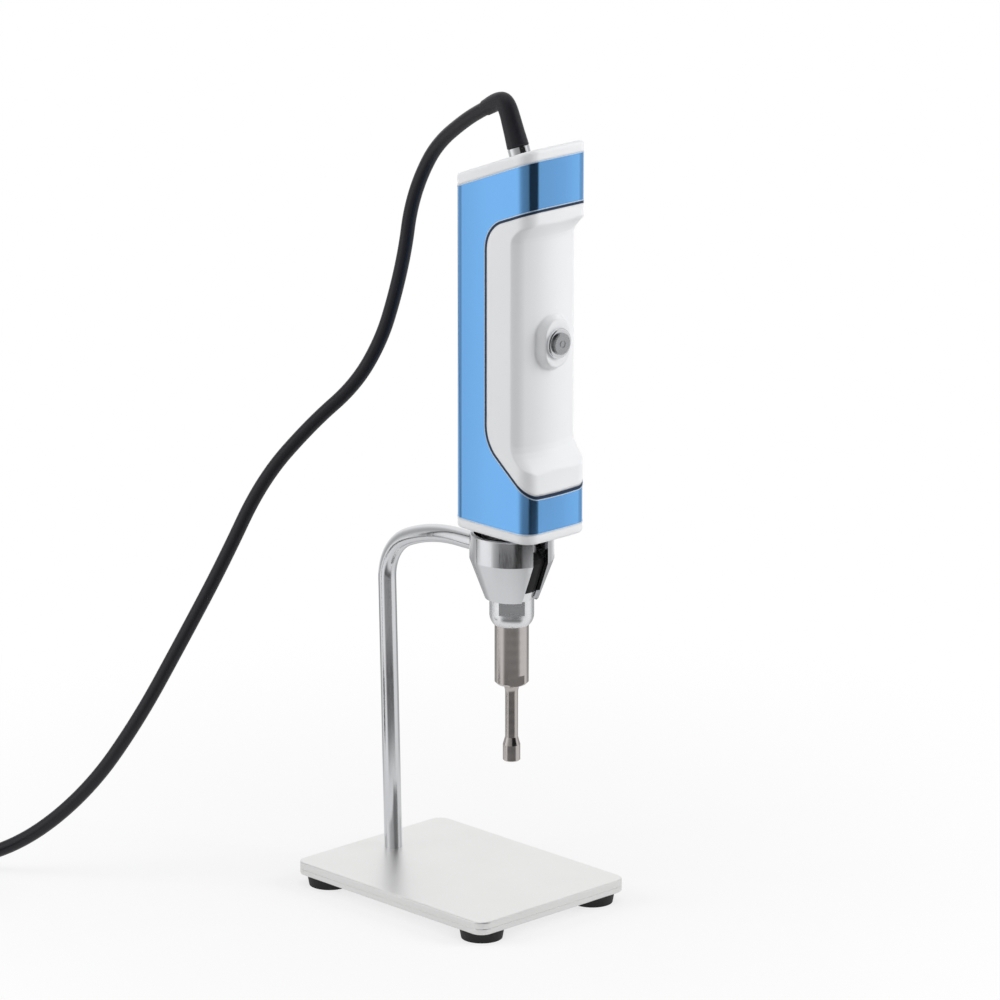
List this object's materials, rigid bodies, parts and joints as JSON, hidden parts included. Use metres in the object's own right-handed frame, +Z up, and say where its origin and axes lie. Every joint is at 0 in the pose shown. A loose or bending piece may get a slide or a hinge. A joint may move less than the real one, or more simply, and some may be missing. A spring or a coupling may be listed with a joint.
{
  "type": "ultrasonic homogenizer",
  "caption": "Hand-held ultrasonic homogenizer with a slanted top and waisted grip, its probe down over a base plate, held by its nose in the slotted cup of a bent-rod stand.",
  "frame": {"origin": "on the floor under the middle of the object's box, the free cable, its coil and connector left out", "axes": "+Z up, -Y to the front where the push button is, +Y to the rear where the rod stands, +X to the right of someone facing -Y side from the rear; the object is symmetric about x = 0 apart from the cable"},
  "size_m": [0.2903, 0.2835, 0.3686],
  "materials": {
    "satin_steel": "satin plate, pale",
    "polished_steel": "polished stainless steel",
    "fastener_steel": "plain",
    "foot_rubber": "matt black",
    "blue_tube": "sky-blue anodised, satin gloss",
    "white_plastic": "white, soft gloss",
    "seal_rubber": "dark seal",
    "silver_aluminium": "turned",
    "black_plastic": "matt black",
    "collar_metal": "turned, bright",
    "titanium": "warm grey, turned",
    "piezo_ceramic": "fired ceramic",
    "brass": "plain",
    "chrome_trim": "plated",
    "button_metal": "brushed",
    "board_green": "lacquered board",
    "ferrite": "dark",
    "lead_insulation": "red",
    "cable_rubber": "matt black"
  },
  "bodies": {
    "stand": {"base_plate": "satin_steel", "base_underplate": "satin_steel", "foot_front_left": "foot_rubber", "foot_front_right": "foot_rubber", "foot_rear_left": "foot_rubber", "foot_rear_right": "foot_rubber", "foot_screws": "fastener_steel", "stand_rod": "polished_steel", "rod_nut": "fastener_steel", "weld_bead": "polished_steel", "holder_cup": "polished_steel", "cable_coil": "cable_rubber", "connector_boot": "cable_rubber", "connector_shell": "chrome_trim", "connector_insert": "black_plastic", "connector_pins": "brass"},
    "handset": {"back_mass": "collar_metal", "board_components": "ferrite", "body_extrusion": "blue_tube", "bottom_cap": "white_plastic", "bottom_cap_screws": "fastener_steel", "button_bezel": "chrome_trim", "button_spring": "fastener_steel", "cable_boot": "cable_rubber", "cable_free": "cable_rubber", "cable_gland": "chrome_trim", "circuit_board": "board_green", "collar_nut": "collar_metal", "coupling_stud": "fastener_steel", "electrode_plates": "brass", "front_mass": "silver_aluminium", "gland_nut": "chrome_trim", "grip_cover": "white_plastic", "grip_gasket": "seal_rubber", "matching_transformer": "ferrite", "node_rings": "seal_rubber", "nose_cone": "black_plastic", "nose_sleeve": "silver_aluminium", "piezo_rings": "piezo_ceramic", "preload_bolt": "fastener_steel", "retaining_ring": "fastener_steel", "sonotrode": "titanium", "switch_body": "black_plastic", "switch_nut": "fastener_steel", "top_cap": "white_plastic", "top_cap_screws": "fastener_steel", "transducer_leads": "lead_insulation"},
    "button": {"power_button": "button_metal"},
    "coupling": {"coupling_ring": "chrome_trim"}
  },
  "joints": [
    {"name": "handset_lift", "type": "slide", "parent": "stand", "child": "handset", "axis": [0, 0, 1], "range_m": [0, 0.115]},
    {"name": "power_button_press", "type": "slide", "parent": "handset", "child": "button", "axis": [0, 1, 0], "range_m": [0, 0.0015], "stiffness_N_per_m": 400, "springref_m": -0.002, "deforming": ["button_spring"]},
    {"name": "coupling_ring_turn", "type": "hinge", "parent": "stand", "child": "coupling", "pos_m": [-0.23523, 0.11962, 0.0099], "axis": [-0.0267, -0.9996, 0], "continuous": true}
  ]
}
